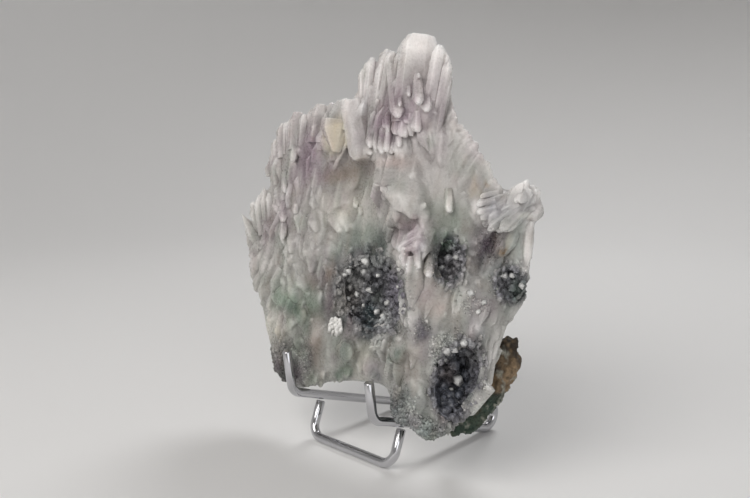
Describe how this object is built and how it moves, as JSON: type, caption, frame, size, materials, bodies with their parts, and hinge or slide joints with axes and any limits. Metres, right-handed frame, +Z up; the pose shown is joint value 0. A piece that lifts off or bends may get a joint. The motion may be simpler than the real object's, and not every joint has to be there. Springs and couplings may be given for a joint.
{
  "type": "mineral specimen on a stand",
  "caption": "Amethyst flower, a fused spray of milky lilac quartz crystals with dark druse hollows, leaning on a small bent-wire display stand.",
  "frame": {"origin": "on the table, under the middle of the stand's front bar", "axes": "+Z up, +X along the front bar to the right seen from the front, +Y to the back"},
  "size_m": [0.1632, 0.0844, 0.1755],
  "materials": {
    "quartz": "milky, satin to glossy",
    "druse": "sparkling fine crystals",
    "rock": "rough, matte",
    "stand": "bright polished"
  },
  "bodies": {
    "root": {"crystal_flower": "quartz", "matrix_rind": "rock", "center_pocket_druse": "druse", "lower_pocket_druse": "druse", "small_pocket_druse": "druse", "edge_pocket_druse": "druse", "stand_wire": "stand", "foot_loop": "stand"}
  },
  "joints": []
}
